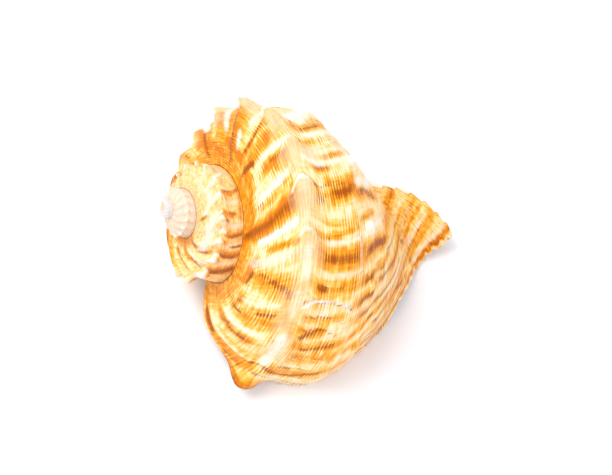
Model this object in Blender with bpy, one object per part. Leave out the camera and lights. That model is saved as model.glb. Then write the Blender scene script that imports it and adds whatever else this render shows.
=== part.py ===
"""A rapa whelk shell lying on its mouth: one solid, grown as a logarithmic spiral."""

import math

import bmesh
import bpy
import numpy as np
from mathutils import Vector

MM = 0.001

# Growth. Every ring of the mesh is a former lip, and each older one is the next one
# turned about the axis and shrunk towards the apex.
WHORL_GROWTH = 2.443        # how many times wider the shell gets in one turn
STEPS_PER_TURN = 64         # rings in a full turn
SUTURE_LEAD = 6             # rings by which the lip runs ahead where it meets the spire
TURNS_BEHIND_LIP = 3.45     # turns from the lip back to the first grown ring
STEP = 2 * math.pi / STEPS_PER_TURN
GROWTH_RATE = math.log(WHORL_GROWTH) / (2 * math.pi)
LEAD_ANGLE = math.degrees(SUTURE_LEAD * STEP)
RINGS_PER_WHORL = STEPS_PER_TURN - SUTURE_LEAD
LAST_RING = round(TURNS_BEHIND_LIP * STEPS_PER_TURN)
APEX_HEIGHT = 0.5           # the first whorl's knob above the end of the spiral, mm

# Section of the whorl at the lip, from the suture over the shoulder to the canal and
# up the pillar: distance from the axis and below the apex in mm, how far the growth
# line runs ahead of the shoulder there in degrees, columns from here to the next.
SUTURE = (16.3, 16.4, LEAD_ANGLE + 2.0, 2)
RAMP = (27.0, 17.0, 20.0, 3)
SHOULDER = (38.0, 24.7, 1.5, 2)
SIDE = (38.9, 31.8, 4.5, 2)
COVERED = (WHORL_GROWTH * SUTURE[0], WHORL_GROWTH * SUTURE[1], 2.0, 3)
LOWER_ROW = (36.5, 47.0, -2.0, 3)
BASE = (27.5, 58.8, -10.0, 2)
BASE_END = (18.6, 67.9, -26.0, 2)
NECK = (11.3, 75.4, -36.0, 2)
CANAL = (11.7, 81.3, -57.0, 2)
CANAL_TIP = (15.8, 90.9, -84.5, 1)
CANAL_INNER = (8.4, 90.0, -79.0, 2)
PILLAR_LOW = (4.2, 76.0, -52.0, 3)
PILLAR_TOP = (NECK[0] / WHORL_GROWTH, NECK[1] / WHORL_GROWTH, NECK[2] + LEAD_ANGLE, 0)
SECTION = (SUTURE, RAMP, SHOULDER, SIDE, COVERED, LOWER_ROW, BASE, BASE_END, NECK,
           CANAL, CANAL_TIP, CANAL_INNER, PILLAR_LOW, PILLAR_TOP)


def column_of(point):
    """Column of the mesh that runs through one of the section's points."""
    return sum(row[3] for row in SECTION[:SECTION.index(point)])


SHOULDER_COLUMN = column_of(SHOULDER)
COVERED_COLUMN = column_of(COVERED)
LOWER_ROW_COLUMN = column_of(LOWER_ROW)
NECK_COLUMN = column_of(NECK)
PILLAR_COLUMN = column_of(PILLAR_LOW)
TOP_COLUMN = column_of(PILLAR_TOP)

# Knobs, 16 to a turn, steep behind and sloping ahead, each with a fold up the ramp
KNOB_RINGS = 4              # rings from one knob to the next
FIRST_KNOB = 6              # rings from the lip to the last regular knob
KNOB_HEIGHT = 4.0           # on the shoulder at the lip, mm
KNOB_COLUMNS = 1.6          # half width of a knob across the shoulder
FOLD_SHARE = 0.55           # height of the fold beside the knob, as a share of the knob's
LOWER_KNOB_HEIGHT = 1.4     # on the lower row at the lip, mm
LOWER_KNOB_COLUMNS = 2.0    # half width of a lower knob
KNOB_SHAPE = (1.0, 0.10, 0.0, 0.40)     # at the knob, and 1, 2 and 3 rings behind it
END_KNOB_RING = 1           # ring of the blunt knob that ends the shoulder at the lip
END_KNOB_SHARE = 1.5        # its height, as a share of a regular knob's
END_LOWER_SHARE = 0.3       # height of the lower row at the lip

# Wall
LIP_WALL = 1.9              # outer wall at the lip, mm
PILLAR_WALL = 1.6           # wall between the mouth and the umbilicus at the lip, mm
GLAZE = 0.8                 # glaze over the whorl that the mouth opens against, mm
CAVITY_RINGS = 36           # how far the hollow is followed back from the lip
CANAL_RINGS = 16            # how far the hollow still dips into the canal
CREST_RINGS = 36            # how far the crest round the umbilicus keeps its full height

# Pose: the shell lies on its mouth, on the lip, the belly of the last whorl and the canal
AXIS_RISE = 24.9            # how steeply the axis climbs towards the apex, degrees
LIP_TURN = -104.0           # turn of the lip about the axis, degrees
SEAT_DEPTH = 0.6            # worn off where it touches the floor, mm
FLOOR_WIDTH = 160.0         # block that wears it flat, mm
FLOOR_DEPTH = 20.0

SHELL_COLOUR = (0.80, 0.52, 0.24, 1.0)
SHELL_ROUGHNESS = 0.45
SHARP_ANGLE = 50.0          # edges sharper than this stay hard in shading, degrees


def smooth_share(value, start, end):
    """0 up to start, 1 from end on, with a soft step between."""
    t = min(1.0, max(0.0, (value - start) / (end - start)))
    return t * t * (3 - 2 * t)


def section_curve():
    """Columns of the whorl's section on one smooth curve: radius, depth and sweep."""
    points = np.array([row[:3] for row in SECTION])
    ahead = np.vstack([points[1:], 2 * points[-1] - points[-2]])
    behind = np.vstack([2 * points[0] - points[1], points[:-1]])
    columns = []
    for i, row in enumerate(SECTION[:-1]):
        start, end = points[i], points[i + 1]
        span = np.linalg.norm((end - start)[:2])
        before = np.linalg.norm((start - behind[i])[:2])
        after = np.linalg.norm((ahead[i + 1] - end)[:2])
        leave = (end - behind[i]) * span / (span + before)
        arrive = (ahead[i + 1] - start) * span / (span + after)
        for n in range(row[3]):
            t = n / row[3]
            columns.append((2 * t**3 - 3 * t**2 + 1) * start + (t**3 - 2 * t**2 + t) * leave
                           + (3 * t**2 - 2 * t**3) * end + (t**3 - t**2) * arrive)
    columns.append(points[-1])
    return np.array(columns)


def outward(curve, closed=False):
    """Unit normals of a section in the plane of radius and depth, out of the whorl."""
    if closed:
        along = np.roll(curve, -1, 0) - np.roll(curve, 1, 0)
    else:
        along = np.gradient(curve, axis=0)
    normals = np.column_stack([along[:, 1], -along[:, 0]])
    return normals / np.linalg.norm(normals, axis=1)[:, None]


def growth_size(ring, sweep):
    """Scale of the shell at a ring, where the growth line runs ahead by sweep degrees."""
    return math.exp(GROWTH_RATE * (math.radians(sweep) - ring * STEP))


def grown(ring, radius, depth, sweep):
    """Point of the shell in its own frame, apex up the Z axis, lip towards X, in mm."""
    angle = math.radians(sweep) - ring * STEP
    size = growth_size(ring, sweep)
    return np.array([size * radius * math.cos(angle), -size * radius * math.sin(angle),
                     -size * depth])


def knob_height(ring, column):
    """How far the outside stands out at a ring and column, mm at the lip's scale."""
    share = low_share = KNOB_SHAPE[(ring - FIRST_KNOB) % KNOB_RINGS]
    if ring < FIRST_KNOB:
        share = END_KNOB_SHARE * max(0.0, 1.0 - 0.5 * abs(ring - END_KNOB_RING))
        low_share = END_LOWER_SHARE * max(0.0, 1.0 - 0.5 * abs(ring - END_KNOB_RING))
    above = SHOULDER_COLUMN - column
    peak = max(0.0, 1.0 - abs(above) / KNOB_COLUMNS)
    fold = FOLD_SHARE * (1.0 - above / SHOULDER_COLUMN) if above > 0 else 0.0
    low = max(0.0, 1.0 - abs(column - LOWER_ROW_COLUMN) / LOWER_KNOB_COLUMNS)
    return share * KNOB_HEIGHT * max(peak, fold) + low_share * LOWER_KNOB_HEIGHT * low


def outside_point(curve, normals, ring, column):
    """Point of the outer surface at a ring and column, mm in the shell's frame."""
    radius, depth, sweep = curve[column]
    bump = knob_height(ring, column)
    radius += normals[column][0] * bump
    depth += normals[column][1] * bump
    if column > NECK_COLUMN:
        if column >= PILLAR_COLUMN:
            # the pillar's wall reaches up to the roof of the umbilicus
            roof = PILLAR_TOP[1] / growth_size(ring, sweep)
            share = (column - PILLAR_COLUMN) / (TOP_COLUMN - PILLAR_COLUMN)
            depth = PILLAR_LOW[1] + (roof - PILLAR_LOW[1]) * share
        # the oldest part of the crest sinks into a plain funnel wall
        top = np.array([PILLAR_TOP[0], PILLAR_TOP[1] / growth_size(ring, PILLAR_TOP[2]),
                        PILLAR_TOP[2]])
        neck = np.array(NECK[:3])
        wall = neck + (top - neck) * (column - NECK_COLUMN) / (TOP_COLUMN - NECK_COLUMN)
        sunk = smooth_share(ring, CREST_RINGS, RINGS_PER_WHORL)
        radius, depth, sweep = (1 - sunk) * np.array([radius, depth, sweep]) + sunk * wall
    return grown(ring, radius, depth, sweep)


def hollow_section(curve):
    """Closed section of the hollow: the wall's inside and the glazed whorl before."""
    covered = curve[NECK_COLUMN - 1:COVERED_COLUMN:-1] / (WHORL_GROWTH, WHORL_GROWTH, 1.0)
    covered[:, 2] += LEAD_ANGLE
    loop = np.vstack([curve, covered])
    walls = np.full(len(loop), LIP_WALL)
    walls[PILLAR_COLUMN:TOP_COLUMN + 1] = PILLAR_WALL
    walls[TOP_COLUMN + 1:] = GLAZE
    loop[:, :2] -= outward(loop[:, :2], closed=True) * walls[:, None]
    return loop


def build_shell():
    """The whole shell as one closed mesh, apex up the Z axis."""
    curve = section_curve()
    normals = outward(curve[:, :2])
    mesh = bmesh.new()
    grid = {}

    def outer(ring, column):
        """Vertex of the outer surface, shared where a whorl meets the one before."""
        if column == 0 and ring + RINGS_PER_WHORL <= LAST_RING:
            ring, column = ring + RINGS_PER_WHORL, COVERED_COLUMN
        if column == TOP_COLUMN and ring == 0:
            ring, column = RINGS_PER_WHORL, NECK_COLUMN
        if (ring, column) not in grid:
            point = outside_point(curve, normals, ring, column)
            grid[ring, column] = mesh.verts.new(Vector(point) * MM)
        return grid[ring, column]

    def face(*corners):
        """Face through the corners, without those that fall together."""
        corners = list(dict.fromkeys(corners))
        if len(corners) > 2:
            mesh.faces.new(corners)

    def close(rim, point):
        """Fan of faces from a rim to one point."""
        middle = mesh.verts.new(Vector(point))
        for here, there in zip(rim, rim[1:] + rim[:1]):
            face(here, there, middle)

    for ring in range(LAST_RING):
        columns = TOP_COLUMN if ring < RINGS_PER_WHORL else COVERED_COLUMN
        for column in range(columns):
            face(outer(ring, column), outer(ring, column + 1),
                 outer(ring + 1, column + 1), outer(ring + 1, column))

    # apex
    rim = [outer(ring, 0) for ring in range(LAST_RING - RINGS_PER_WHORL, LAST_RING + 1)]
    rim += [outer(LAST_RING, column) for column in range(1, COVERED_COLUMN)]
    close(rim, (0.0, 0.0, APEX_HEIGHT * MM))

    # roof of the umbilicus
    rim = [outer(RINGS_PER_WHORL, column) for column in range(NECK_COLUMN + 1, TOP_COLUMN)]
    rim += [outer(ring, TOP_COLUMN) for ring in range(RINGS_PER_WHORL, -1, -1)]
    close(rim, (0.0, 0.0, -PILLAR_TOP[1] * MM))

    # hollow of the mouth, ring by ring, the first one sharing the whorl before
    inner = hollow_section(curve)
    count = len(inner)
    canal = range(NECK_COLUMN + 1, PILLAR_COLUMN)
    rings = [0, 1] + list(range(2, CAVITY_RINGS + 1, 2))
    loops = []
    for ring in rings:
        section = inner.copy()
        shut = smooth_share(ring, 0, CANAL_RINGS)
        for n in canal:
            share = (n - NECK_COLUMN) / (PILLAR_COLUMN - NECK_COLUMN)
            floor = inner[NECK_COLUMN] + (inner[PILLAR_COLUMN] - inner[NECK_COLUMN]) * share
            section[n] = (1 - shut) * inner[n] + shut * floor
        points = [grown(ring, *row) for row in section]
        loops.append([mesh.verts.new(Vector(point) * MM) for point in points])
        if ring == 0:
            for n in range(TOP_COLUMN + 1, count):
                mesh.verts.remove(loops[0][n])
                loops[0][n] = outer(RINGS_PER_WHORL, NECK_COLUMN + TOP_COLUMN - n)
    lip = loops[0]
    for n in range(TOP_COLUMN):
        face(outer(0, n), lip[n], lip[n + 1], outer(0, n + 1))
    face(outer(0, TOP_COLUMN), lip[TOP_COLUMN], lip[TOP_COLUMN + 1])
    face(outer(0, 0), lip[-1], lip[0])
    for here, there in zip(loops, loops[1:]):
        for n in range(count):
            m = (n + 1) % count
            face(here[n], there[n], there[m], here[m])
    end = loops[-1][::-1]
    close(end, sum((vertex.co for vertex in end), Vector()) / count)

    data = bpy.data.meshes.new("shell")
    mesh.to_mesh(data)
    mesh.free()
    data.shade_smooth()
    data.set_sharp_from_angle(angle=math.radians(SHARP_ANGLE))
    shell = bpy.data.objects.new("shell", data)
    bpy.context.scene.collection.objects.link(shell)
    return shell


def lay_down(shell):
    """Turn the shell onto its mouth and wear it flat where it touches the floor."""
    shell.rotation_mode = "ZYX"
    shell.rotation_euler = (0.0, math.radians(AXIS_RISE - 90.0), math.radians(LIP_TURN))
    turn = shell.rotation_euler.to_matrix()
    corners = np.array([turn @ vertex.co for vertex in shell.data.vertices])
    low, high = corners.min(axis=0), corners.max(axis=0)
    middle = (low + high) / 2
    shell.location = (-middle[0], -middle[1], -low[2] - SEAT_DEPTH * MM)

    bpy.ops.mesh.primitive_cube_add(size=1.0, location=(0.0, 0.0, -FLOOR_DEPTH * MM / 2))
    floor = bpy.context.object
    floor.name = "floor_cutter"
    floor.scale = (FLOOR_WIDTH * MM, FLOOR_WIDTH * MM, FLOOR_DEPTH * MM)
    bpy.ops.object.transform_apply(location=False, rotation=False, scale=True)
    floor.display_type = "WIRE"
    floor.hide_render = True
    seat = shell.modifiers.new("seat", "BOOLEAN")
    seat.operation = "DIFFERENCE"
    seat.solver = "EXACT"
    seat.object = floor


def shell_material():
    """Cream and orange-brown shell, dull outside and not metallic."""
    material = bpy.data.materials.new("shell")
    material.use_nodes = True
    surface = material.node_tree.nodes["Principled BSDF"]
    surface.inputs["Base Color"].default_value = SHELL_COLOUR
    surface.inputs["Roughness"].default_value = SHELL_ROUGHNESS
    surface.inputs["Metallic"].default_value = 0.0
    return material


for old in list(bpy.data.objects):
    bpy.data.objects.remove(old)
shell = build_shell()
shell.data.materials.append(shell_material())
lay_down(shell)
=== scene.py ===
# %% [markdown]
# # A rapa whelk shell, lying on its mouth
#
# This lesson makes the looks of one seashell: a wide-mouthed whelk with a low knobbed spire, a
# keeled shoulder and a cream and orange-brown skin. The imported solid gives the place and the
# size. The lesson grows a fine shell there, with its relief and colours, in a pale studio.
#
# A shell could be sculpted by hand, but it would never coil as evenly as a real one does. The
# animal only ever adds to the lip, so every ring of the shell is a former lip, turned about the
# axis and shrunk by a fixed rate. That law is short to write, so the shell is grown by it.

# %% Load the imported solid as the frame
import math

import bmesh
import bpy
import numpy as np
from mathutils import Euler, Matrix, Vector


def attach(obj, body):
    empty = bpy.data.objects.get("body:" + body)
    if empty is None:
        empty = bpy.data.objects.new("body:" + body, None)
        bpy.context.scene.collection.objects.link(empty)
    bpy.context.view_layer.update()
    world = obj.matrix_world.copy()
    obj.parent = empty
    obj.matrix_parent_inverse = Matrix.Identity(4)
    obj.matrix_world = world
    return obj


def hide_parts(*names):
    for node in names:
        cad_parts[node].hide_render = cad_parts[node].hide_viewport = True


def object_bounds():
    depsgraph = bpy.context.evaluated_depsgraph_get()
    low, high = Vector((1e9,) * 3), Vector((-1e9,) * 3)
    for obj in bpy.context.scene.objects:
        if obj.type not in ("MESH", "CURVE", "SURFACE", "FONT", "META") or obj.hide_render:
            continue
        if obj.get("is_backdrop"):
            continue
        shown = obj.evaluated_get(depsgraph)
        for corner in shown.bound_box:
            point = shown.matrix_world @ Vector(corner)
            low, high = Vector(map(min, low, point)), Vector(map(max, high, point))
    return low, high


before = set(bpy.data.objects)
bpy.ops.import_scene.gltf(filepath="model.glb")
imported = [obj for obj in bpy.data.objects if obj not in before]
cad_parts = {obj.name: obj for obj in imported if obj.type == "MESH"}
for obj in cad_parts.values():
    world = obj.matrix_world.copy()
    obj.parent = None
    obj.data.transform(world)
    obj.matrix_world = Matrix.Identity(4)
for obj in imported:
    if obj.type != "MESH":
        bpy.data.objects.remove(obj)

cad_low, cad_high = (tuple(corner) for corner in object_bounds())
print("solid's box in mm:", [round(1000 * (b - a), 1) for a, b in zip(cad_low, cad_high)])

# %% [markdown]
# ## The growth law
#
# The shell gets 2.44 times wider in each whorl. A place on it has two coordinates: growth, in
# degrees behind the lip (negative, because it lies in the past), and across, in mm from the
# suture over the shoulder to the canal, measured where that place's ring is at the lip. Relief
# and colour follow these two, as they do on the real shell.

# %% Growth law
WHORL_GROWTH = 2.443        # how many times wider the shell gets in one turn
GROWTH_RATE = math.log(WHORL_GROWTH) / (2 * math.pi)
RINGS_PER_TURN = 256
RING_STEP = 360 / RINGS_PER_TURN
LEAD_ANGLE = 33.75          # how far the lip runs ahead where it meets the spire, degrees
WHORL_RINGS = round((360 - LEAD_ANGLE) / RING_STEP)     # rings until the next whorl covers one
TURNS = 3.45
LAST_RING = round(TURNS * RINGS_PER_TURN)


def place(growth, radius, depth, sweep):
    """Points in the shell's own frame, in mm: apex up the Z axis, lip towards X."""
    angle = np.radians(growth + sweep)
    size = np.exp(GROWTH_RATE * angle)
    return np.stack([size * radius * np.cos(angle), -size * radius * np.sin(angle),
                     -size * depth], axis=-1)


print("rings in a whorl:", WHORL_RINGS, "and in all:", LAST_RING)

# %% [markdown]
# ## The outline of the whorl
#
# The outline is drawn at the lip: distance from the axis and depth below the apex in mm, and
# how far the growth line runs ahead there in degrees. A smooth curve through these points goes
# from the suture over the ramp to the shoulder, down the side and the base to the canal, and
# back up the pillar. The point named covered is where the next whorl's suture lies.

# %% Outline of the whorl at the lip
SECTION = {
    "suture": (16.3, 16.4, LEAD_ANGLE + 2.0),
    "ramp": (27.0, 17.0, 20.0),
    "shoulder": (38.0, 24.7, 1.5),
    "side": (38.9, 31.8, 4.5),
    "covered": (WHORL_GROWTH * 16.3, WHORL_GROWTH * 16.4, 2.0),
    "lower_row": (36.5, 47.0, -2.0),
    "base": (27.5, 58.8, -10.0),
    "base_end": (18.6, 67.9, -26.0),
    "neck": (11.3, 75.4, -36.0),
    "canal": (11.7, 81.3, -57.0),
    "canal_tip": (15.8, 90.9, -84.5),
    "canal_inner": (8.4, 90.0, -79.0),
    "pillar_low": (4.2, 76.0, -52.0),
    "pillar_top": (11.3 / WHORL_GROWTH, 75.4 / WHORL_GROWTH, LEAD_ANGLE - 36.0),
}
STEPS_AT = (0, 2, 5, 7, 9, 12, 15, 17, 19, 21, 23, 24, 26, 29)   # even steps of a coarse outline
SECTION_POINTS = np.array(list(SECTION.values()))


def through(points, places, closed=False):
    """A smooth curve through the points, read at places such as 2.5, midway from 2 to 3."""
    if closed:
        padded = np.vstack([points[-1:], points, points[:2]])
    else:
        padded = np.vstack([2 * points[0] - points[1], points, 2 * points[-1] - points[-2]])
    first = np.clip(np.asarray(places).astype(int), 0, len(padded) - 4)
    t = (places - first)[:, None]
    behind, start, end, ahead = (padded[first + n] for n in range(4))
    span = np.linalg.norm((end - start)[:, :2], axis=1)[:, None]
    before = np.linalg.norm((start - behind)[:, :2], axis=1)[:, None]
    after = np.linalg.norm((ahead - end)[:, :2], axis=1)[:, None]
    leave = (end - behind) * span / (span + before)
    arrive = (ahead - start) * span / (span + after)
    return ((2 * t**3 - 3 * t**2 + 1) * start + (t**3 - 2 * t**2 + t) * leave
            + (3 * t**2 - 2 * t**3) * end + (t**3 - t**2) * arrive)


fine = np.linspace(0, len(SECTION) - 1, 2601)
fine_curve = through(SECTION_POINTS, fine)
fine_steps = np.linalg.norm(np.diff(fine_curve[:, :2], axis=0), axis=1)
fine_across = np.concatenate([[0.0], np.cumsum(fine_steps)])
ACROSS = {name: float(np.interp(n, fine, fine_across)) for n, name in enumerate(SECTION)}
print("mm across the whorl:", {name: round(value, 1) for name, value in ACROSS.items()})

# %% Reading the outline at any place across the whorl
fine_along = np.gradient(fine_curve[:, :2], axis=0)
fine_normal = np.column_stack([fine_along[:, 1], -fine_along[:, 0]])
fine_normal /= np.linalg.norm(fine_normal, axis=1)[:, None]


def read(table, across):
    """Columns of a fine table, read at places across the whorl."""
    return [np.interp(across, fine_across, column) for column in table.T]


def coarse_step(across):
    """The step of the coarse outline that lies at a place across the whorl."""
    return np.interp(across, list(ACROSS.values()), STEPS_AT)


# %% [markdown]
# ## Knobs, keel, scales and ledges
#
# When this whelk rests from growing, its lip flares and leaves a fold up the ramp, a hollow knob
# on the shoulder and a scale on the row below. Each is steep on its older side and slopes gently
# towards the lip, like a wave, and its crest bends into a hood. They could be separate lumps,
# but they are one skin with the whorl, so they are moves of its vertices. Knobs that the picture
# shows have their own height and place, and the others follow the rule of 16 to a turn.

# %% Helpers for shaping
def smooth(value, start, end):
    """0 up to start, 1 from end on, with a soft step between."""
    t = np.clip((value - start) / (end - start), 0.0, 1.0)
    return t * t * (3 - 2 * t)


def hump(value, middle, width):
    """1 at the middle, fading to nothing over about twice the width."""
    return np.exp(-((value - middle) / width) ** 2)


def wander(value, step, seed):
    """A smooth line between random heights from -1 to 1, one for every step."""
    heights = np.random.default_rng(seed).uniform(-1, 1, 4096)
    place_on_line = value / step + 2048
    low = np.floor(place_on_line).astype(int)
    t = place_on_line - low
    t = t * t * (3 - 2 * t)
    return heights[low] * (1 - t) + heights[low + 1] * t


# %% Knobs on the shoulder, each with a fold up the ramp
KNOB_PITCH = 22.5           # degrees from knob to knob
FIRST_KNOB = -33.75         # the last regular knob before the lip
KNOB_HEIGHT = 4.3           # above the outline, mm at the lip
KNOBS_SEEN = {              # growth: height as a share, shift in degrees
    -33.75: (0.50, -0.5), -56.25: (0.40, 1.0), -78.75: (0.70, -2.0), -101.25: (1.10, -1.0),
    -123.75: (0.90, 0.7), -146.25: (0.95, 0.0), -168.75: (1.12, 0.5), -191.25: (1.0, 0.5),
    -326.25: (1.3, 1.0), -348.75: (0.95, 4.0), -371.25: (0.8, 1.0),
}
END_KNOB = (1.0, 0.96, 6.5)  # the blunt knob at the lip: growth, share, half width in degrees
STEEP_SIDE = 0.17           # width of a knob's older side, as a share of the pitch
GENTLE_SIDE = 0.62
HOOD_BEND = 0.20            # how far the crest swings back on the keel, as a share of the pitch


def knob_of(growth):
    """For each place, the knob that shapes it: its share of the height and distance from it."""
    number = np.ceil((FIRST_KNOB - growth) / KNOB_PITCH - 0.3)
    middle = FIRST_KNOB - number * KNOB_PITCH
    share = 0.9 + 0.18 * wander(number, 1.0, 11)
    shift = 1.2 * wander(number, 1.0, 12)
    for seen, (height, offset) in KNOBS_SEEN.items():
        here = np.abs(middle - seen) < 0.1
        share = np.where(here, height, share)
        shift = np.where(here, offset, shift)
    share = np.where(number < 0, 0.0, share) * (1 + 0.4 * smooth(-growth, 325, 350))
    return share, (growth - middle - shift) / KNOB_PITCH


def wave(t, steep, gentle):
    """A wave's height: steep behind its crest at 0, gentle ahead of it."""
    behind = np.clip(1 + t / steep, 0, 1) ** 1.5
    ahead = 1 - smooth(t, 0, gentle)
    return np.where(t < 0, behind, ahead)


def crest_of(growth, across):
    """Each place's knob: its share of the height, distance from its bent crest, mm above the keel."""
    share, t = knob_of(growth)
    above = ACROSS["shoulder"] - across
    return share, t - HOOD_BEND * (1 - hump(above, 0, 2.6)), above


def knob_rise(growth, across):
    """Height of the knobs, their folds and the keel, mm at the lip's scale."""
    share, from_crest, above = crest_of(growth, across)
    knob = wave(from_crest, STEEP_SIDE, GENTLE_SIDE) * hump(above, 0, 3.1)
    rim = hump(from_crest, 0.02, 0.06) * hump(above, 0, 3.4)
    fold = wave(from_crest, 0.24, 0.5)
    up_ramp = 0.60 * np.clip(1 - above / (ACROSS["shoulder"] - 3.0), 0, 1) ** 0.8
    down_side = 0.60 * hump(above, 0, 3.4)
    fold = fold * np.where(above > 0, up_ramp, down_side)
    rise = share * KNOB_HEIGHT * (np.maximum(0.84 * knob, fold) + 0.16 * rim)
    at, end_share, half = END_KNOB
    blunt = np.maximum(0, 1 - np.abs(growth - at) / half) * hump(above, 0, 3.4)
    rise += np.where(growth > -9, end_share * KNOB_HEIGHT * blunt, 0)
    between = -0.7 * hump(above, 0, 2.6) * (growth < -9)
    return rise + between + 0.25 * hump(above, 0, 0.9)


# %% Scales of the lower rows
LOWER_KNOB_HEIGHT = 1.7
LOWER_SEEN = (              # growth, across, half width across, share of the height
    (-83, 46.5, 2.2, 0.9), (-114.5, 44, 3, 1.25), (-147, 40, 5, 1), (-62, 46, 2, 0.5),
)
LOWER_PITCH = 30.0


def lower_rise(growth, across):
    """Height of the scales on the row below the shoulder, and of the fainter row under it."""
    middle = -26.0 - LOWER_PITCH * np.ceil((-26.0 - growth) / LOWER_PITCH - 0.3)
    t = (growth - middle) / LOWER_PITCH
    share = 0.55 + 0.3 * wander(middle, LOWER_PITCH, 21)
    row = hump(across, ACROSS["lower_row"], 2.0)
    bend = 0.06 * (1 - hump(across, ACROSS["lower_row"], 1.6))
    rise = share * wave(t - bend, 0.10, 0.45) * row
    faded = smooth(growth, -190, -160) * (1 - smooth(growth, -75, -60))
    seen = np.zeros_like(growth)
    for at, middle_across, half, height in LOWER_SEEN:
        own_bend = 0.14 * (1 - hump(across, middle_across, half))
        own = wave((growth - at) / LOWER_PITCH - own_bend, 0.09, 0.42)
        seen += height * own * hump(across, middle_across, half)
    rise = rise * (1 - faded) + seen * faded
    ridge = 0.30 * hump(across, ACROSS["lower_row"], 1.2)
    under = 0.28 * hump(across, 55.5, 1.3) * (1 + 0.6 * wander(growth, 9.0, 22))
    return LOWER_KNOB_HEIGHT * rise + ridge + under


# %% Ledges, where growth paused
LEDGES = (                  # growth, from and to across, height in mm
    (-55.5, 26, 40, 1), (-49, 27, 39.5, 0.45), (-43, 27.5, 39, 0.4), (-28, 27, 41, 0.35), (-20, 4, 46, 0.3),
    (-12, 2, 60, 0.4), (-6.5, 2, 66, 0.4), (-2.8, 2, 70, 0.3), (-66, 30, 46, 0.25), (-82, 26, 44, 0.3),
    (-104, 27, 43, 0.4), (-127, 26, 44, 0.35), (-141, 24, 46, 0.4),
)
LEDGE_BOW = 18.0            # how far a ledge's ends bend towards the lip, degrees


def ledges_at(growth, across):
    """For each ledge, how many degrees a place is past its edge, and the ledge's height there."""
    for at, start, end, height in LEDGES:
        bow = LEDGE_BOW * ((across - 0.5 * (start + end)) / (end - start)) ** 2
        within = smooth(across, start - 1.5, start + 1.5) * (1 - smooth(across, end - 1.5, end + 1.5))
        yield growth - at - bow - 0.5 * wander(across, 3.0, 31), height * within


def ledge_rise(growth, across):
    """Height of the ledges: each rises slowly towards the lip and drops off at its edge."""
    rise = np.zeros_like(growth)
    for past, height in ledges_at(growth, across):
        rise += height * np.exp(np.minimum(past, 0) / 2.6) * (past <= 0)
    older = smooth(-growth, 150, 165)
    pause = (growth / 9.7 + 0.12 * wander(across, 6.0, 32)) % 1.0
    return rise + older * 0.22 * (1 - pause) ** 3 * (0.6 + 0.4 * wander(growth, 9.7, 33))


# %% Scales of the old canal ends, which ring the umbilicus
CANAL_PITCH = 15.0


def canal_rise(growth, across):
    """Height of the overlapping scales on the crest that old canal ends leave."""
    pause = ((growth - 4.0) / CANAL_PITCH + 0.10 * wander(growth, 13.0, 41)) % 1.0
    saw = 1 - pause
    crest = hump(across, ACROSS["canal_tip"], 7.0)
    return crest * (saw - 0.5)


# %% [markdown]
# ## Placing the relief
#
# The heights are in mm at the lip, and shrink with the whorl. One more thing happens at the
# umbilicus: the crest of old canal ends sinks into a plain funnel wall on its oldest part, and
# the pillar's wall reaches up to the roof.

# %% Outer surface with its relief
TIP_LIFT = 1.7              # how far the young shell's tip stands up out of the spire, mm


def lifted_tip(points):
    """Raise what lies near the axis on the spire, so that the tip stands up."""
    from_axis = np.hypot(points[..., 0], points[..., 1])
    lift = TIP_LIFT * (1 - smooth(from_axis, 0.8, 7.5)) * smooth(points[..., 2], -14, -8)
    raised = points.copy()
    raised[..., 2] += lift
    return raised


LOBE_SPACING = 3.7          # scaly lobes along the lip's edge below the base, mm
CREST_END = -202.5          # where the crest round the umbilicus starts to sink, degrees
roof_depth = SECTION["pillar_top"][1]


def ragged_lip(growth, across):
    """How far the lip's edge runs ahead or lags behind, in degrees, fading into the shell."""
    lobes = np.abs(np.sin(math.pi * (across / LOBE_SPACING + 0.25 * wander(across, 6.0, 61))))
    lobes = (1.7 * lobes - 1.5) * (0.75 + 0.35 * wander(across, LOBE_SPACING, 62))
    lobes = lobes * smooth(across, 50, 60) * (1 - smooth(across, 98, 106)) * hump(growth, 0, 9)
    knob_lead = 1.3 * hump(across, 22, 5) * hump(growth, 0, 9)
    return np.degrees((lobes + knob_lead) / read(fine_curve, across)[0])


def outside(growth, across):
    """Points of the outer surface, in mm in the shell's own frame."""
    radius, depth, sweep = read(fine_curve, across)
    sweep = sweep + ragged_lip(growth, across)
    out_radius, out_depth = read(fine_normal, across)
    rise = (knob_rise(growth, across) + lower_rise(growth, across)
            + ledge_rise(growth, across) + canal_rise(growth, across))
    rise = rise * (across < ACROSS["pillar_low"])
    radius = radius + out_radius * rise
    depth = depth + out_depth * rise
    step = coarse_step(across)
    neck, low, top = STEPS_AT[8], STEPS_AT[12], STEPS_AT[13]
    roof = roof_depth / np.exp(GROWTH_RATE * np.radians(growth + sweep))
    climb = (step - low) / (top - low)
    low_depth = SECTION["pillar_low"][1]
    depth = np.where(step >= low, low_depth + (roof - low_depth) * climb, depth)
    turned_in = step > neck
    share = np.where(turned_in, (step - neck) / (top - neck), 0.0)
    sunk = smooth(-growth, -CREST_END, 360 - LEAD_ANGLE) * turned_in
    top_sweep = SECTION["pillar_top"][2]
    top_depth = roof_depth / np.exp(GROWTH_RATE * np.radians(growth + top_sweep))
    neck_point = SECTION["neck"]
    top_point = (SECTION["pillar_top"][0], top_depth, top_sweep)
    wall = [a + (b - a) * share for a, b in zip(neck_point, top_point)]
    radius, depth, sweep = ((1 - sunk) * here + sunk * there
                            for here, there in zip((radius, depth, sweep), wall))
    return lifted_tip(place(growth, radius, depth, sweep))


# %% [markdown]
# ## Rolling up the skin
#
# Unrolled, a whorl is a sheet of small squares: rings one way, places across the other. So each
# whorl starts as a grid, and its vertices move to where the growth law and the relief put them.
# After the last whorl only the stretch from suture to suture stays open to view, so only that
# goes on, and as the whorls get smaller towards the apex each sheet has half the columns of the
# one before.

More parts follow.
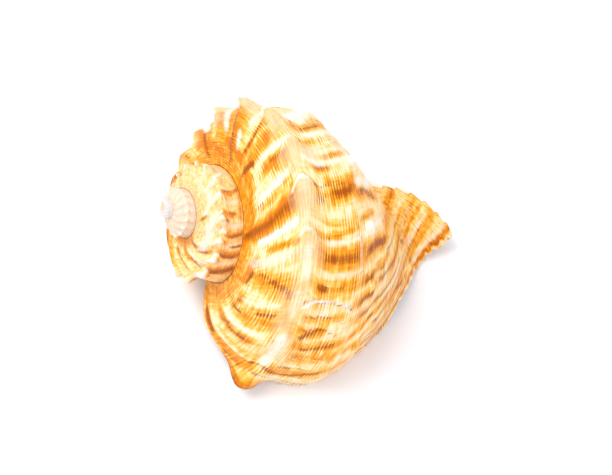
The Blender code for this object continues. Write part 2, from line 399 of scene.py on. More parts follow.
# %% One sheet for each whorl
STRETCHES = (("suture", "covered", 88), ("covered", "neck", 84),
             ("neck", "pillar_low", 48), ("pillar_low", "pillar_top", 20))
columns = [np.linspace(ACROSS[a], ACROSS[b], n, endpoint=False) for a, b, n in STRETCHES]
columns = np.concatenate([*columns, [ACROSS["pillar_top"]]])
COVERED_COLUMN = STRETCHES[0][2]
NECK_COLUMN = COVERED_COLUMN + STRETCHES[1][2]

shell = bmesh.new()
growth_layer, across_layer, order_layer = (
    shell.verts.layers.float.new(name) for name in ("growth_angle", "across_mm", "order"))


def rolled_sheet(first_ring, last_ring, sheet_columns):
    """Make a grid for some rings, roll it up, and give its rows of vertices."""
    count = len(sheet_columns)
    rings = last_ring - first_ring + 1
    bmesh.ops.create_grid(shell, x_segments=count - 1, y_segments=rings - 1, size=1)
    shell.verts.ensure_lookup_table()
    vertices = shell.verts[-count * rings:]
    growth = np.repeat(-RING_STEP * np.arange(first_ring, last_ring + 1), count)
    across = np.tile(sheet_columns, rings)
    for vertex, point, *where in zip(vertices, outside(growth, across), growth, across):
        vertex.co = point
        vertex[growth_layer], vertex[across_layer] = where
    return [vertices[n * count:(n + 1) * count] for n in range(rings)]


rows = rolled_sheet(0, WHORL_RINGS, columns)
lip = rows[0]
sheet_columns = columns[:COVERED_COLUMN + 1]
joins = {}
while len(rows) <= LAST_RING:
    sheet_columns = sheet_columns[::2]
    first_ring = len(rows) - 1
    first_row, *more = rolled_sheet(first_ring, min(first_ring + WHORL_RINGS, LAST_RING), sheet_columns)
    older_row = rows[-1]
    joins.update(zip(first_row, older_row[::2]))
    joins.update(zip(older_row[1:2 * len(first_row) - 1:2], older_row[::2]))
    rows += more
print("rolled up:", len(shell.verts), "vertices,", len(shell.faces), "faces")

# %% [markdown]
# ## Writing the map, then closing the sutures
#
# The colours need to know growth and across at every corner of every face. A face map (UV) holds
# them per corner, so that at a suture the two whorls can disagree about where they are. It is
# written first. Then the sheets are welded together, each whorl's suture is welded to the whorl
# before, and the top of the pillar to the neck of the whorl before.

# %% Face map: growth in mm along the shoulder, and mm across
MM_PER_DEGREE = SECTION["shoulder"][0] * math.pi / 180
MAP_NAME = "growth_map"
map_layer = shell.loops.layers.uv.new(MAP_NAME)


def write_map(faces):
    """Give each corner its growth and its place across, both in mm at the lip's scale."""
    for face in faces:
        for corner in face.loops:
            corner[map_layer].uv = (corner.vert[growth_layer] * MM_PER_DEGREE,
                                    corner.vert[across_layer])


write_map(shell.faces)

# %% Weld the sheets together, and each whorl to the one before
bmesh.ops.weld_verts(shell, targetmap=joins)
sutures = {rows[ring][0]: rows[ring + WHORL_RINGS][-1 if ring else COVERED_COLUMN]
           for ring in range(LAST_RING - WHORL_RINGS + 1)}
sutures[lip[-1]] = rows[WHORL_RINGS][NECK_COLUMN]
gap = max((a.co - b.co).length for a, b in sutures.items())
bmesh.ops.weld_verts(shell, targetmap=sutures)
lip[0], lip[-1] = rows[WHORL_RINGS][COVERED_COLUMN], rows[WHORL_RINGS][NECK_COLUMN]
print("welded", len(joins) + len(sutures), "vertices, sutures at most", round(gap, 3), "mm apart")

# %% [markdown]
# ## The mouth and its hollow
#
# The rim of the mouth is one closed loop: the lip, and the line where it meets the whorl before.
# Extruding that loop gives first the rounded edge of the lip, then the wall's inside, which
# sweeps back into the shell by the same growth law. The inner outline is the outer one, moved in
# by the wall's thickness on a coarse outline, so that it can't fold over itself in the canal.

# %% Inner outline of the mouth
LIP_WALL = 1.9
PILLAR_WALL = 1.6
GLAZE = 0.8                 # glaze over the whorl that the mouth opens against
coarse_points = through(SECTION_POINTS, np.interp(np.arange(STEPS_AT[-1] + 1), STEPS_AT,
                                                  np.arange(len(STEPS_AT))))
COARSE_COVERED, COARSE_NECK = STEPS_AT[4], STEPS_AT[8]
COARSE_LOW, COARSE_TOP = STEPS_AT[12], STEPS_AT[13]
covered_points = coarse_points[COARSE_NECK - 1:COARSE_COVERED:-1].copy()
covered_points[:, :2] /= WHORL_GROWTH
covered_points[:, 2] += LEAD_ANGLE
mouth_points = np.vstack([coarse_points, covered_points])
along = (np.roll(mouth_points, -1, 0) - np.roll(mouth_points, 1, 0))[:, :2]
inward = np.column_stack([-along[:, 1], along[:, 0]]) / np.linalg.norm(along, axis=1)[:, None]
walls = np.full(len(mouth_points), LIP_WALL)
walls[COARSE_LOW:COARSE_TOP + 1] = PILLAR_WALL
walls[COARSE_TOP + 1:] = GLAZE
mouth_points[:, :2] += inward * walls[:, None]

# %% The rim as one loop, and where each of its vertices lies on the inner outline
rim = lip[:-1] + rows[WHORL_RINGS][NECK_COLUMN:COVERED_COLUMN:-1]
rim_steps = np.concatenate([
    coarse_step(columns[:-1]),
    COARSE_TOP + COARSE_NECK - coarse_step(columns[NECK_COLUMN:COVERED_COLUMN:-1])])
for number, vertex in enumerate(rim):
    vertex[order_layer] = number
print("vertices round the mouth:", len(rim))

# %% Points of the hollow
CANAL_SHUT = 90.0           # how far back the hollow still dips into the canal, degrees
RIDGE_HEIGHT = 0.35         # ridges inside the lip
RIDGE_SPACING = 3.6
RIDGE_FADE = 13.0           # degrees over which they fade


def hollow(growth, steps):
    """Points of the inner wall at a ring, for steps along the inner outline."""
    shut = smooth(-growth, 0, CANAL_SHUT)
    points = mouth_points.copy()
    for step in range(COARSE_NECK + 1, COARSE_LOW):
        share = (step - COARSE_NECK) / (COARSE_LOW - COARSE_NECK)
        floor = mouth_points[COARSE_NECK] * (1 - share) + mouth_points[COARSE_LOW] * share
        points[step] = (1 - shut) * mouth_points[step] + shut * floor
    radius, depth, sweep = through(points, steps, closed=True).T
    across = np.interp(steps, STEPS_AT, list(ACROSS.values()))
    fade = (1 - smooth(-growth, 2.0, RIDGE_FADE)) * smooth(across, 12, 20)
    fade = fade * (1 - smooth(across, 66, 74)) * (steps < COARSE_NECK)
    ridge = fade * RIDGE_HEIGHT * (0.5 + 0.5 * np.cos(2 * math.pi * across / RIDGE_SPACING))
    out_radius, out_depth = read(fine_normal, across)
    return place(growth, radius - ridge * out_radius, depth - ridge * out_depth, sweep)


# %% Rounded edge of the lip, then the hollow, loop by loop
def edges_of(loop):
    """The edges along a closed loop of vertices."""
    return [shell.edges.get(pair) for pair in zip(loop, loop[1:] + loop[:1])]


def extruded(loop, layer):
    """The loop of new vertices that extruding a loop makes, in the order that a layer gives."""
    made = bmesh.ops.extrude_edge_only(shell, edges=edges_of(loop))["geom"]
    return sorted((v for v in made if isinstance(v, bmesh.types.BMVert)),
                  key=lambda vertex: vertex[layer])


LIP_ROUND = ((0.12, 0.32), (0.38, 0.62), (0.68, 0.55), (0.92, 0.15))    # share inwards, mm ahead
HOLLOW_RINGS = (-0.6, -1.6, -3.0, -4.6, -6.5, -8.7, -11.0, -14.0)
DEEP_RING_STEP = 5.0
DEEPEST_RING = -209.0
outer_faces = set(shell.faces)


def next_loop(loop, points, growth, steps):
    """Extrude a closed loop, put the new one at the points and note where it is."""
    new = extruded(loop, order_layer)
    mirrored = np.where(steps > COARSE_TOP, COARSE_TOP + COARSE_NECK - steps, steps)
    across = np.interp(mirrored, STEPS_AT, list(ACROSS.values()))
    for vertex, point, vertex_across in zip(new, points, across):
        vertex.co = point
        vertex[growth_layer], vertex[across_layer] = growth, vertex_across
    return new


rim_points = np.array([vertex.co for vertex in rim])
ahead = np.column_stack([rim_points[:, 1], -rim_points[:, 0], np.zeros(len(rim))])    # where the lip grows
ahead /= np.linalg.norm(ahead, axis=1)[:, None]
inner_points = hollow(0.0, rim_steps)
loop = rim
for share, bulge in LIP_ROUND:
    points = rim_points * (1 - share) + inner_points * share + bulge * ahead
    loop = next_loop(loop, points, 0.0, rim_steps)
for growth in HOLLOW_RINGS:
    loop = next_loop(loop, hollow(growth, rim_steps), growth, rim_steps)
loop_steps = rim_steps
growth = HOLLOW_RINGS[-1]
while growth - DEEP_RING_STEP > DEEPEST_RING:
    growth -= DEEP_RING_STEP
    loop = next_loop(loop, hollow(growth, loop_steps), growth, loop_steps)
    if len(loop) == len(rim):       # the deep loops need only every second vertex
        bmesh.ops.weld_verts(shell, targetmap=dict(zip(loop[1::2], loop[::2])))
        loop, loop_steps = loop[::2], loop_steps[::2]
print("mouth: deepest loop has", len(loop), "vertices, at", growth, "degrees")

# %% Close the hollow's end, the roof of the umbilicus and the apex
def close(loop, middle):
    """Extrude a closed loop and draw the new one together at a point."""
    new = bmesh.ops.extrude_edge_only(shell, edges=edges_of(loop))["geom"]
    new = [v for v in new if isinstance(v, bmesh.types.BMVert)]
    bmesh.ops.pointmerge(shell, verts=new, merge_co=middle)


close(loop, sum((vertex.co for vertex in loop), Vector()) / len(loop))
inner_faces = [face for face in shell.faces if face not in outer_faces]
write_map(inner_faces)
for face in inner_faces:
    face.material_index = 1
roof_rim = rows[WHORL_RINGS][NECK_COLUMN:] + [rows[ring][-1] for ring in range(WHORL_RINGS - 1, 0, -1)]
close(roof_rim, (0.0, 0.0, -roof_depth - 0.5))

# %% Apex: the first whorl of the young shell, a smooth little dome
APEX_RISES = ((0.72, 0.42), (0.40, 0.30), (0.16, 0.10))     # how far each loop is drawn in, mm up
apex_rim = [rows[ring][0] for ring in range(LAST_RING - WHORL_RINGS + 1, LAST_RING + 1)]
apex_rim += rows[LAST_RING][1:]
for number, vertex in enumerate(apex_rim):
    vertex[order_layer] = number
middle = sum((vertex.co for vertex in apex_rim), Vector()) / len(apex_rim)
loop = apex_rim
for share, rise in APEX_RISES:
    loop = extruded(loop, order_layer)
    for vertex in loop:
        vertex.co = middle + (vertex.co - middle) * share + Vector((0, 0, rise))
close(loop, sum((vertex.co for vertex in loop), Vector()) / len(loop))
write_map(face for face in shell.faces if face not in outer_faces and not face.material_index)
print("open edges left:", sum(len(edge.link_faces) != 2 for edge in shell.edges))

# %% Lay the shell down in the solid's place, in metres
POLE = (-35.743, 8.122, 26.398)     # where the shell's own frame starts, mm in the row frame
AXIS_RISE = 24.9            # how far the axis of coiling rises above the surface, degrees
LIP_TURN = -104.0
turn = Euler((0, math.radians(AXIS_RISE - 90), math.radians(LIP_TURN)), "ZYX").to_matrix()
shell.transform(Matrix.Translation(Vector(POLE) / 1000) @ turn.to_4x4() @ Matrix.Scale(0.001, 4))
below = [vertex for vertex in shell.verts if vertex.co.z < 0]
for vertex in below:
    vertex.co.z = 0
bmesh.ops.recalc_face_normals(shell, faces=shell.faces)
for face in shell.faces:
    face.smooth = True
mesh = bpy.data.meshes.new("rapa_shell")
shell.to_mesh(mesh)
print("worn flat where it lies:", len(below), "vertices; triangles:",
      sum(len(face.verts) - 2 for face in shell.faces),
      "; shell in cm3:", round(shell.calc_volume() * 1e6, 1))
shell.free()


def in_scene(name, data):
    """A new object for a mesh, a light or a camera, linked to the scene."""
    thing = bpy.data.objects.new(name, data)
    bpy.context.scene.collection.objects.link(thing)
    return thing


piece = in_scene("rapa_shell", mesh)
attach(piece, "root")
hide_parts("shell")

# %% [markdown]
# ## The marks and some painted light, in growth coordinates
#
# The mantle's edge lays down colour as the lip grows, so every mark lies along a growth line or
# along the spiral cords. They are painted as soft brush strokes on the unrolled skin, and the
# material later gives them their hard, streaky edges. On the parts out of the camera's view the
# same habits are repeated by rule: brown just younger than each fold, pale just older, the pale
# partly a painted highlight on the fold's steep side. Light and shade are painted in too: a
# highlight on each hood's rim, shade on its gentle face, its shadow beside it, and shade in the
# suture and past each ledge's edge.

# %% Brush strokes by strength: growth and across at both ends, and width in degrees
BROWN_STROKES = {
    1: ((-6, 6.3, -6.5, 11, 3), (-142.9, 5.7, -135.7, 11.3, 3.5), (-375, 28, -386, 38, 8)),
    0.95: ((-145.5, 17.5, -143.5, 20, 3), (-51.5, 44, -53, 50, 3.2), (-71.5, 50, -69.7, 58, 4.4),
        (-45.4, 76, -42, 79, 4), (-347, 28, -336, 38, 9)),
    0.9: ((-24.4, 12, -24.4, 15.7, 3.5), (-39.7, 8.5, -39.5, 10.7, 3), (-61, 8, -69, 9.5, 2.4),
        (-150.5, 10, -149, 12, 2.6), (-149, 12, -145.5, 17.5, 2.2), (-59, 29.5, -60, 31.5, 3.4),
        (-99, 35, -99, 39.6, 4.5), (-71.5, 45.5, -71.5, 50, 4.4), (-36.9, 50, -36.9, 52, 2.4),
        (-400, 28, -402, 37, 5)),
    0.85: ((-4, 42, -5, 64, 2.2), (-10.5, 46, -10, 72, 2.4), (-30, 54, -28, 74, 2.8),
        (-44, 52, -42, 70, 2.8), (-53, 54, -50, 76, 3), (-62.5, 15.5, -52.6, 22.5, 3),
        (-96, 2.5, -95, 8, 7), (-167, 11, -167, 20, 6), (-15, 36, -17, 39.5, 2.4),
        (-30.4, 30.3, -32.9, 34.7, 2.2), (-34.7, 28.3, -38.3, 30, 2.4), (-71.9, 31, -71.9, 39.5, 4),
        (-134.5, 32, -135.5, 39, 2.4), (-44, 45, -44, 50, 2.8), (-59, 45, -60, 50, 2.8),
        (-17, 52, -17.5, 58, 3.4), (-412, 33, -413, 39, 4), (-404, 5, -405, 10, 7),
        (-400, 15.5, -400, 18, 6)),
    0.8: ((0, 27, 0, 30, 2.4), (-22, 48, -21, 66, 2.6), (-37, 58, -35, 78, 2.6), (-17, 60, -15, 76, 2.6),
        (-9.4, 21.2, -9.4, 22, 2), (-47, 8.4, -47, 9, 3), (-43.3, 15.5, -43, 20, 3),
        (-97, 21, -97, 21.6, 2), (-9.5, 25.5, -11, 30, 2.2), (-11, 30, -15, 36, 2.2),
        (-16, 28, -17, 31, 1.8), (-32.9, 34.7, -34.7, 38, 2.2), (-110.7, 31, -111.5, 33.5, 2.6),
        (-97, 46, -97, 50, 4), (-37, 55, -37, 56.5, 2.4), (-27, 67.6, -19, 72, 3), (-20, 80, -19.6, 81, 4),
        (-5, 92, -5, 98, 2.6), (-422, 30, -425, 39, 4)),
    0.75: ((-63, 60, -60, 76, 3), (-95, 8, -94, 21, 5), (-166, 6, -166, 10, 10), (-205, 4, -203, 13, 4),
        (-38.3, 30, -40.4, 31.7, 2.2), (-58, 54, -58, 56, 3), (-97, 50, -93, 55, 4),
        (-14, 85.5, -14, 87, 3), (-29, 90.5, -29, 92, 3), (-380, 13, -376, 20, 5), (-445, 30, -445, 33, 6),
        (-470, 37, -470, 40, 5)),
    0.7: ((-1.5, 21, -1, 23, 2.4), (-22, 9, -28, 10.5, 2.2), (-166, 20, -161, 23.5, 3),
        (-60.5, 35.2, -60.5, 36.2, 2.4), (-94, 28, -96, 30, 4.5), (-61, 74, -60, 82, 3.4),
        (-355, 12, -356, 18, 5), (-345, 8, -356, 10, 5), (-450, 8, -451, 12, 5), (-468, 27, -470, 33, 5),
        (-436, 27, -437, 29, 5)),
    0.65: ((-108.9, 9, -108.9, 11, 2.4), (-125, 16.5, -118, 22.5, 4)),
    0.6: ((-3, 30, -4, 40, 2), (-4, 15, -5, 18, 3), (-68, 12, -62, 16, 2.4), (-143.5, 20, -137, 23, 2.6),
        (-188, 17, -188, 18.4, 4), (-116, 36, -116, 39, 2), (-564, 14, -564, 26, 7)),
    0.55: ((-80, 16, -77, 21, 1.6), (-17, 31, -21, 34.5, 1.6)),
    0.5: ((-118.6, 5, -116, 9, 2.4), (-66, 86.5, -66, 88, 3)),
}
ORANGE_STROKES = {
    0.95: ((-94, 2, -95, 22, 11),),
    0.9: ((-150, 8, -175, 9.5, 6),),
    0.86: ((-98, 34, -100, 41, 7),),
    0.85: ((-374, 4, -376, 12, 9), (-377, 27, -386, 39, 11), (-402, 27, -404, 39, 8), (-404, 3, -404, 12, 9),
        (-585, 12, -585, 24, 3), (-149, 10, -141, 23, 5), (-206, 5, -205, 17, 9), (-180, 5, -215, 10, 9),
        (-5, 84, -5, 99, 6)),
    0.8: ((-443, 25, -445, 33, 6), (-400, 14, -401, 20, 6), (-165, 9, -165, 24, 17), (-6, 7, -6, 11, 6),
        (-137, 31, -150, 28, 1.6)),
    0.75: ((-423, 28, -426, 40, 7), (-465, 27, -469, 38, 6), (-0.5, 18, -0.5, 30, 5), (-25, 8, -25, 17, 7),
        (-124, 15, -116, 23, 8), (-60, 6, -75, 9.5, 6)),
    0.72: ((-203, 5, -203, 18, 20), (-71.5, 28, -72, 42, 10)),
    0.7: ((-330, 2, -406, 3, 8), (-450, 8, -450, 11, 6), (-563, 15, -563, 25, 5), (-6, 12, -7, 22, 7),
        (-80, 14, -77, 22, 3.4), (-100, 5, -146, 8, 6), (-110, 30, -111, 34, 4), (-72, 43, -70, 60, 8)),
    0.68: ((-42, 76, -43, 97, 6),),
    0.65: ((-140, 9, -133, 23, 8),),
    0.62: ((-178, 5, -178, 20, 24), (-66, 11, -55, 22, 9), (-31, 28, -35, 40, 5), (-135, 28, -136, 42, 6),
        (-97, 44, -94, 60, 7), (-22, 80, -23, 93, 7)),
    0.6: ((-350, 10, -358, 20, 10), (-520, 24, -540, 33, 4), (-440, 38, -480, 40, 4), (-7, 62, -5, 80, 4),
        (-33, 60, -31, 78, 4), (-50, 60, -50, 76, 4), (-1, 44, -1, 62, 3), (-10, 44, -11, 70, 2.4),
        (-38, 8, -52, 9, 4), (-96, 21, -106, 21.4, 2.4), (-12, 27, -17, 40, 6), (-37, 27, -41, 33, 5),
        (-116, 34, -117, 42, 3), (-86, 43, -86, 52, 3), (-52, 42, -53, 55, 5), (-60, 42, -60, 60, 5),
        (-16, 44, -17, 62, 7), (-36, 44, -37, 60, 5), (-60, 72, -59, 92, 5), (-27, 62, -19, 75, 5),
        (-77, 76, -78, 98, 8)),
    0.55: ((-40, 13, -39, 22, 12), (-59, 28, -61, 40, 7), (-104, 33, -104, 42, 4), (-44, 43, -44, 55, 5)),
    0.5: ((-80, 28, -84, 41, 3), (-97, 28, -98, 34, 5)),
    0.45: ((-186, 14, -190, 26, 12), (-25, 28, -29, 40, 8), (-123, 28, -126, 33, 4), (-27, 44, -27, 60, 4)),
    0.4: ((-15, 12, -15, 21, 4), (-106, 12, -107, 20, 6), (-44, 27, -48, 38, 4), (-86, 30, -87, 41, 3)),
}
# Pale strokes just older than a fold, on its steep side, are partly the shell's pale bands and partly a
# painted highlight.
WHITE_STROKES = {
    1: ((-424, 24, -424, 26.5, 5), (-485, 25, -497, 32, 4), (-200, 17, -201, 26, 8), (-52, 28, -55, 31, 1.5),
        (-55, 31, -55.6, 35.5, 1.5), (-55.6, 35.5, -52.5, 38.5, 1.5), (-112, 43, -114, 46, 6),
        (-82, 45, -83, 47.5, 3)),
    0.9: ((-398, 24, -398, 26, 4), (-352, 25, -362, 29, 8), (-48, 26, -52, 28, 1.5),
        (-146, 32, -150, 42, 10)),
    0.85: ((-388, 10, -386, 21, 6), (-463, 16, -464, 24, 7), (-87, 10, -86, 21, 5)),
    0.8: ((-376, 22, -373, 25, 4), (-443, 20, -444, 24, 4), (-112, 11, -110, 20, 5),
        (-52.5, 38.5, -49, 40, 1.5), (-101, 45, -103, 50, 5), (-100, 52, -106, 62, 7)),
    0.75: ((-484, 14, -480, 23, 8), (-158, 10.5, -159, 14, 4), (-177, 14, -179, 25, 6)),
    # The stroke along the keel behind the lip is a painted highlight.
    0.74: ((-13, 24, -33, 24.2, 5),),
    0.72: ((-404, 15, -444, 18, 13),),
    0.7: ((-456, 13, -474, 17, 11), (-506, 12, -508, 24, 6), (-31, 8, -31, 19, 4), (-132, 14, -126, 22, 5),
        (-153, 19, -151, 24, 5), (-78, 31, -79, 41, 3), (-79, 44, -80, 58, 4), (-113, 27, -114, 46, 4),
        (-130, 32, -131, 46, 5), (-140, 33, -148, 40, 7)),
    0.62: ((-61, 25, -72, 25, 6), (-13, 84, -13, 100, 7)),
    0.6: ((-391, 28, -394, 37, 5), (-410, 28, -412, 31, 6), (-432, 29, -434, 38, 6), (-455, 28, -458, 37, 6),
        (-413, 12, -414, 20, 8), (-498, 10, -500, 22, 4), (-50, 10, -49, 20, 3), (-75, 9, -73, 20, 8),
        (-65.5, 30, -66, 42, 3.4), (-119, 32, -120, 46, 3), (-33, 84, -33, 97, 6)),
    0.5: ((-490, 12, -530, 15, 8), (-43, 24, -52, 24, 4), (-12, 5, -12, 19, 3), (-50, 31, -51, 36, 4),
        (-90, 30, -91, 40, 2), (-51, 80, -51, 95, 6), (-2, 96, -2, 102, 4)),
    0.4: ((-127, 12, -127, 14, 3), (-5, 41.5, -80, 42, 3.4)),
}
# Tan strokes on the keel just younger than a knob are painted shade on the hood's gentle face.
TAN_STROKES = {
    0.75: ((-95, 24, -83, 24.5, 8),),
    0.7: ((-116, 24, -118, 32, 10),),
    0.6: ((-36, 23, -62, 24.5, 7), (-75, 26, -68, 26, 8), (-186, 18, -190, 26, 10), (-12, 45, -12, 48, 6)),
    0.5: ((-500, 34, -530, 36, 12), (-420, 2, -560, 2, 5), (-2, 30, -6, 44, 9), (-6, 46, -8, 58, 7),
        (-150, 30, -142, 38, 8), (-16, 55, -16, 62, 9)),
    0.45: ((-20, 46, -23, 58, 8),),
    0.35: ((-38, 62, -40, 80, 14), (-55, 20, -46, 23, 4), (-47, 46, -48, 60, 8), (-80, 50, -82, 60, 8)),
}

# %% Paint the strokes and the rules on every corner of the skin
# Growth is in degrees, negative behind the lip, across is in mm, and strengths run from 0 to 1.
corner_map = np.empty(2 * len(mesh.loops), dtype=np.float32)
mesh.uv_layers[MAP_NAME].data.foreach_get("uv", corner_map)
growth = corner_map[0::2].astype(float) / MM_PER_DEGREE
across = corner_map[1::2].astype(float)
back = -growth               # degrees back from the lip


def painted(strokes):
    """Strength of the strongest stroke at each corner, fading beyond each stroke's edge."""
    field = np.zeros(len(growth))
    with_strength = ((*stroke, strength) for strength, group in strokes.items() for stroke in group)
    for growth_a, across_a, growth_b, across_b, width, strength in with_strength:
        half = 0.5 * width * MM_PER_DEGREE
        margin = 2 * half
        near = ((across > min(across_a, across_b) - margin)
                & (across < max(across_a, across_b) + margin)
                & (growth > min(growth_a, growth_b) - margin / MM_PER_DEGREE)
                & (growth < max(growth_a, growth_b) + margin / MM_PER_DEGREE))
        x = (growth[near] - growth_a) * MM_PER_DEGREE
        y = across[near] - across_a
        run = (growth_b - growth_a) * MM_PER_DEGREE
        fall = across_b - across_a
        t = np.clip((x * run + y * fall) / (run * run + fall * fall), 0, 1)
        distance = np.hypot(x - t * run, y - t * fall)
        here = strength * np.clip(1.25 - 0.75 * distance / half, 0, 1)
        field[near] = np.maximum(field[near], here)
    return field


brown, orange, white, tan = (painted(strokes) for strokes in
                             (BROWN_STROKES, ORANGE_STROKES, WHITE_STROKES, TAN_STROKES))
_, fold_place = knob_of(growth)
share, from_crest, above_keel = crest_of(growth, across)
on_last_whorl = 1 - 0.85 * smooth(back, 325, 345) * (1 - 0.5 * smooth(back, 545, 565))
hidden_from = np.interp(across, (24, 28, 42, 48, 60), (205, 165, 150, 120, 104))
older_part = smooth(back - hidden_from, 0, 14) * on_last_whorl
lower_part = smooth(across, 57, 62) * smooth(back, 2, 8)
by_rule = np.maximum(older_part, lower_part)
ragged = 0.5 + 0.5 * wander(growth + 0.6 * across, 4.0, 51)
uneven = 0.5 + 0.5 * wander(growth, 11.0, 52)
after_fold = hump(fold_place, 0.24, 0.13) * (0.25 + 0.9 * ragged * (0.4 + uneven))
# Pale just older than each fold, on its steep side, is partly the shell's pale band and partly a painted
# highlight.
pale_band_and_highlight = hump(fold_place, -0.35, 0.16)
dash_rows = 0.75 * smooth(across, 62, 70)
for row_at, row_width, row_strength in ((8.5, 2.6, 1.0), (17, 4.0, 0.8), (34, 5.0, 0.9), (52, 5.5, 0.9)):
    dash_rows = np.maximum(dash_rows, row_strength * hump(across, row_at, row_width))
worn_keel = hump(across, 24.5, 1.9)
brown = np.maximum(brown, by_rule * after_fold * dash_rows * (1 - worn_keel))
warm = (0.15 + 0.6 * hump(fold_place, 0.22, 0.24) * (0.4 + uneven)) * (1 - 0.7 * worn_keel)
orange = np.maximum(orange, by_rule * warm)
by_suture = 0.55 * (1 - smooth(across, 3.5, 9)) * (1 - 0.7 * smooth(back, 400, 430))
young_skin = smooth(back, 345, 380) * (1 - smooth(back, 520, 590))
orange = np.maximum(orange, np.maximum(by_suture, 0.12 * young_skin))
# The white rim round each hood's crest is a painted highlight on its steep, lit side.
rim_width = 0.075 + 0.04 * smooth(back, 300, 360)
hood_rim_highlight = np.minimum(share, 1) * hump(from_crest, 0.01, rim_width) * hump(above_keel, 0.6, 3.2)
hood_rim_highlight = hood_rim_highlight * (1.15 - 0.6 * hump(growth, -335, 24))
white = np.maximum(white, np.maximum(by_rule * 0.6 * pale_band_and_highlight, hood_rim_highlight))
# The tan on each hood's gentle face, which takes the place of brown and orange there, is painted shade.
hood_face_shade = smooth(from_crest, 0.01, 0.09) * (1 - smooth(from_crest, 0.45, 0.85))
hood_face_shade = hood_face_shade * hump(above_keel, -0.6, 2.0 + 3.5 * np.clip(from_crest, 0, 1))
hood_face_shade = hood_face_shade * np.minimum(share, 1) * (1 - 0.9 * smooth(back, 300, 360))
tan = np.maximum(tan, 0.9 * hood_face_shade)
brown = brown * (1 - 0.9 * hood_face_shade)
orange = np.maximum(orange * (1 - 0.75 * hood_face_shade), 0.35 * hood_face_shade)
# Orange and brown just older than each hood, below the keel, are a painted shadow of the hood.
hood_shadow = hump(from_crest, -0.09, 0.06) * hump(above_keel, -3.4, 2.2) * np.minimum(share, 1)
orange = np.maximum(orange, 0.85 * hood_shadow)
brown = np.maximum(brown, 0.55 * hood_shadow)
# The thin brown line in the suture groove is painted shade.
suture_groove_shade = 1 - smooth(across / (1 + 1.2 * smooth(back, 330, 400)), 0.2, 1.1)
brown = np.maximum(brown, 0.8 * suture_groove_shade * (1 - smooth(back, 820, 900)))
# Brown just past each ledge's edge, where the surface drops into a recess, is painted shade.
for past, height in ledges_at(growth, across):
    brown = np.maximum(brown, 1.8 * np.minimum(height, 0.4) * hump(past, 0.7, 0.9))

apex_wear = 0.55 * smooth(back, 560, 700) + 0.45 * smooth(back, 880, 1000)
apex_wear = apex_wear * (0.4 + 0.6 * smooth(across, 0.5, 3))
spire = 0.3 * smooth(back, 330, 400) + 0.7 * smooth(back, 530, 600)
lip_edge = smooth(growth, -1.6, -0.2)
near_lip_ramp = smooth(growth, -42, -16) * (1 - smooth(across, 11, 24))
on_end_knob = hump(growth, 0, 8) * hump(above_keel, 0, 6)
cord_strength = (1 - 0.85 * near_lip_ramp) * (1 - 0.7 * smooth(across, 66, 78))
cord_strength = cord_strength * (1 - 0.6 * spire) * (1 - 0.8 * on_end_knob)
print("corners painted:", len(growth), "brown on", int((brown > 0.4).mean() * 100), "% of them")

# %% Keep the painting in two colour attributes
def keep_attribute(name, *channels):
    """Store four channels for each corner under a name."""
    layer = mesh.color_attributes.new(name, "FLOAT_COLOR", "CORNER")
    layer.data.foreach_set("color", np.stack(channels, axis=1).astype(np.float32).ravel())


keep_attribute("marks", brown, orange, white, tan)
keep_attribute("age", spire, apex_wear, lip_edge, cord_strength)

# %% [markdown]
# ## Shell, outside: aragonite with a worn, satin skin
#
# The outside is limestone laid down in cords about 0.9 mm apart, with growth lines across them.
# It was once under a horny film, which the sea has taken off, so it shines softly. The strokes
# are cut up by the cords: colour sits on them and thins out between them.

# %% Helpers for materials
def linear(code):
    """A colour of an sRGB hex code, as the linear value that a shader expects."""
    parts = [int(code[n:n + 2], 16) / 255 for n in (1, 3, 5)]
    return (*(c / 12.92 if c <= 0.04045 else ((c + 0.055) / 1.055) ** 2.4 for c in parts), 1.0)


def add(material, kind, settings=(), links=()):
    """Add a node to a material, with its settings, its input values and its links."""
    node = material.node_tree.nodes.new("ShaderNode" + kind)
    for name, value in dict(settings).items():
        setattr(node, name, value)
    for name, value in dict(links).items():
        socket = node.inputs[name]
        if isinstance(value, bpy.types.NodeSocket):
            material.node_tree.links.new(value, socket)
        else:
            socket.default_value = value
    return node


def blank(name):
    """A new material with an empty node tree."""
    material = bpy.data.materials.new(name)
    material.use_nodes = True
    material.node_tree.nodes.clear()
    return material


def set_stops(ramp, stops):
    """Give a colour ramp its places and colours."""
    while len(ramp.elements) < len(stops):
        ramp.elements.new(0.5)
    for element, (position, code) in zip(ramp.elements, stops):
        element.position = position
        element.color = linear(code)


# %% Weathered shell skin: satin limestone with cords, growth lines and streaky marks
CORD_SPACING = 0.88         # mm at the lip
WAVE_TURN = 2 * math.pi / 20     # a wave texture of scale 1 repeats after this length
skin = blank("satin_shell_skin")
place_map = add(skin, "UVMap", {"uv_map": MAP_NAME}).outputs["UV"]
marks = add(skin, "Attribute", {"attribute_name": "marks"})
age = add(skin, "Attribute", {"attribute_name": "age"})
parts = add(skin, "SeparateColor", {}, {"Color": marks.outputs["Color"]})
ages = add(skin, "SeparateColor", {}, {"Color": age.outputs["Color"]})
cords = add(skin, "TexWave", {"wave_type": "BANDS", "bands_direction": "Y", "wave_profile": "SIN"},
            {"Vector": place_map, "Scale": WAVE_TURN / CORD_SPACING, "Distortion": 0.9,
             "Detail": 1.0, "Detail Scale": 0.35}).outputs["Fac"]
NOISES = (                  # stretch along growth and across, scale per mm, detail, roughness, distortion
    ((0.16, 1.15, 1), 1.0, 3, 0.6, 0), ((1, 0.10, 1), 1.1, 4, 0.65, 0.3),
    ((1, 1, 1), 0.35, 4, 0.55, 0), ((1, 1, 1), 0.13, 2, 0.5, 0),
)
noises = []
